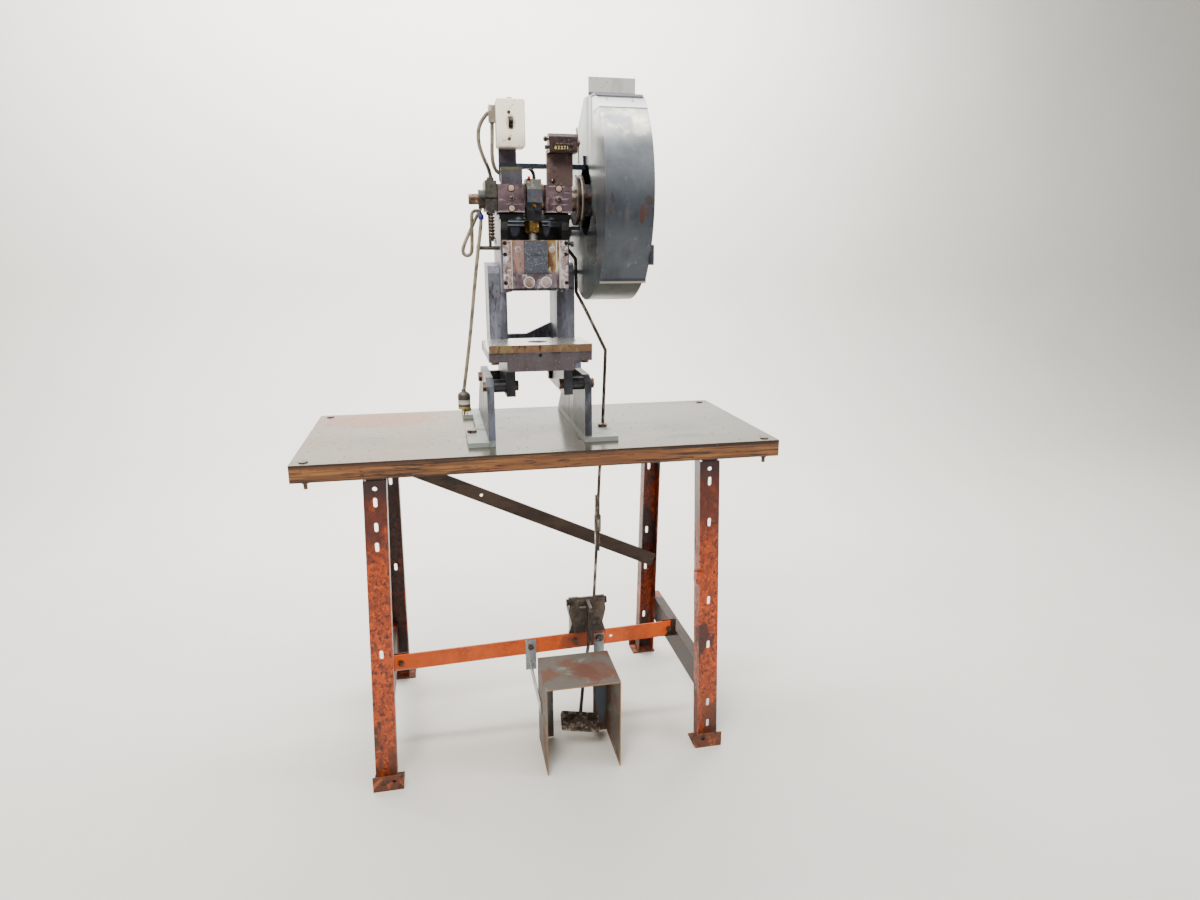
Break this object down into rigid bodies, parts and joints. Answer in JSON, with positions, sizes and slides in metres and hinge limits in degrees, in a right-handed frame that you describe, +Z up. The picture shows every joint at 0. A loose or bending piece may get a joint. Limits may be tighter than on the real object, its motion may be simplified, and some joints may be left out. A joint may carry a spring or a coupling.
{
  "type": "bench punch press",
  "caption": "Mechanical punch press on a steel-topped work bench, with a guarded flywheel, crank-driven ram, motor and foot treadle.",
  "frame": {"origin": "middle of the footprint, on the floor", "axes": "+X to the right along the bench, +Y from the front to the back, +Z up"},
  "size_m": [1.2192, 0.6838, 1.757],
  "materials": {
    "wood": "oiled, worn",
    "steel_sheet": "greasy, worn",
    "orange_paint": "chipped and greasy",
    "rusty_orange": "rusty",
    "bolt_steel": "worn",
    "rusty_sheet": "rusty mill sheet",
    "galvanised": "dull zinc",
    "dark_iron": "greasy",
    "rod_steel": "dull, rusty",
    "casting": "greasy grey paint",
    "ground_steel": "ground, oily",
    "brass": "dull",
    "motor_paint": "dull",
    "rubber": "matte",
    "cream_plastic": "worn enamel",
    "dark_plastic": "matte",
    "cord_rubber": "matte, dusty"
  },
  "bodies": {
    "frame": {"bench_planks": "wood", "bench_sheet": "steel_sheet", "leg_set_left": "orange_paint", "leg_set_right": "orange_paint", "feet": "rusty_orange", "stringer": "orange_paint", "rear_brace": "orange_paint", "bench_bolts": "bolt_steel", "pedal_guard": "rusty_sheet", "guard_straps": "galvanised", "treadle_bracket": "dark_iron", "press_leg_left": "casting", "press_leg_right": "casting", "press_frame": "casting", "bolster_plate": "ground_steel", "bed_bolts": "bolt_steel", "gib_plate_left": "ground_steel", "gib_plate_right": "ground_steel", "head_screws": "bolt_steel", "cap_bolts": "brass", "bearing_cap_left": "casting", "bearing_cap_right": "casting", "brake_shoes": "dark_iron", "brake_spring": "bolt_steel", "motor_body": "motor_paint", "motor_mount": "dark_iron", "drive_belt": "rubber", "guard_drum": "galvanised", "guard_front_cover": "galvanised", "guard_top_bracket": "galvanised", "guard_support_bar": "rod_steel", "switch_post": "casting", "switch_box": "cream_plastic", "counter_tower": "casting", "counter_body": "dark_iron", "power_cord": "cord_rubber", "plug": "cord_rubber", "motor_cable": "cord_rubber"},
    "treadle": {"treadle_pin": "bolt_steel", "treadle_lever": "dark_iron", "treadle_pad": "dark_iron"},
    "trip_rod": {"trip_rod_lower": "rod_steel", "trip_rod_upper": "rod_steel"},
    "latch": {"clutch_latch": "dark_iron"},
    "crank": {"crankshaft": "ground_steel", "brake_drum": "dark_iron", "clutch_collar": "dark_iron"},
    "con_rod": {"connecting_rod": "casting", "rod_cap": "casting", "ball_screw": "ground_steel", "lock_nut": "brass"},
    "ram": {"ram_slide": "ground_steel", "ram_front_block": "dark_iron", "punch_clamp_bar": "ground_steel", "ram_bolts": "ground_steel"},
    "flywheel": {"flywheel": "casting"},
    "pulley": {"motor_pulley": "casting"},
    "toggle": {"switch_toggle": "dark_plastic"},
    "arm": {"counter_arm": "bolt_steel"},
    "knob": {"counter_knob": "bolt_steel"}
  },
  "joints": [
    {"name": "crank_turn", "type": "hinge", "parent": "frame", "child": "crank", "pos_m": [-0.009, -0.09895, 1.488], "axis": [-1, 0, 0], "range_deg": [0, 180]},
    {"name": "rod_pin", "type": "hinge", "parent": "crank", "child": "con_rod", "pos_m": [-0.009, -0.09895, 1.50388], "axis": [-1, 0, 0], "range_deg": [-180, 0]},
    {"name": "ram_travel", "type": "slide", "parent": "frame", "child": "ram", "axis": [0, 0, -1], "range_m": [0, 0.03176]},
    {"name": "counter_lever", "type": "hinge", "parent": "frame", "child": "arm", "pos_m": [0.098, -0.13595, 1.616], "axis": [1, 0, 0], "range_deg": [0, 25]},
    {"name": "flywheel_spin", "type": "hinge", "parent": "frame", "child": "flywheel", "pos_m": [0.165, -0.09895, 1.488], "axis": [1, 0, 0], "continuous": true},
    {"name": "pulley_spin", "type": "hinge", "parent": "frame", "child": "pulley", "pos_m": [0.165, 0.15405, 1.415], "axis": [1, 0, 0], "continuous": true},
    {"name": "treadle_press", "type": "hinge", "parent": "frame", "child": "treadle", "pos_m": [0.147, 0.03905, 0.335], "axis": [1, 0, 0], "range_deg": [0, 8], "stiffness_Nm_per_rad": 20, "springref_deg": -14.32},
    {"name": "trip_rod_pull", "type": "slide", "parent": "frame", "child": "trip_rod", "axis": [0, 0, -1], "range_m": [0, 0.00785]},
    {"name": "latch_swing", "type": "hinge", "parent": "frame", "child": "latch", "pos_m": [0.081, 0.01105, 1.39], "axis": [1, 0, 0], "range_deg": [0, 16.05]},
    {"name": "switch_throw", "type": "hinge", "parent": "frame", "child": "toggle", "pos_m": [-0.0615, -0.12295, 1.6565], "axis": [1, 0, 0], "range_deg": [0, 40]},
    {"name": "counter_reset", "type": "hinge", "parent": "frame", "child": "knob", "pos_m": [0.019, -0.13595, 1.624], "axis": [1, 0, 0], "continuous": true}
  ],
  "couplings": [
    {"joint": "rod_pin", "follows": "crank_turn", "ratio": -1},
    {"joint": "ram_travel", "follows": "crank_turn", "m_per_rad": 0.010106},
    {"joint": "counter_lever", "follows": "crank_turn", "ratio": 0.13888},
    {"joint": "pulley_spin", "follows": "flywheel_spin", "ratio": 5.9333},
    {"joint": "trip_rod_pull", "follows": "treadle_press", "m_per_rad": 0.056},
    {"joint": "latch_swing", "follows": "treadle_press", "ratio": 2}
  ]
}
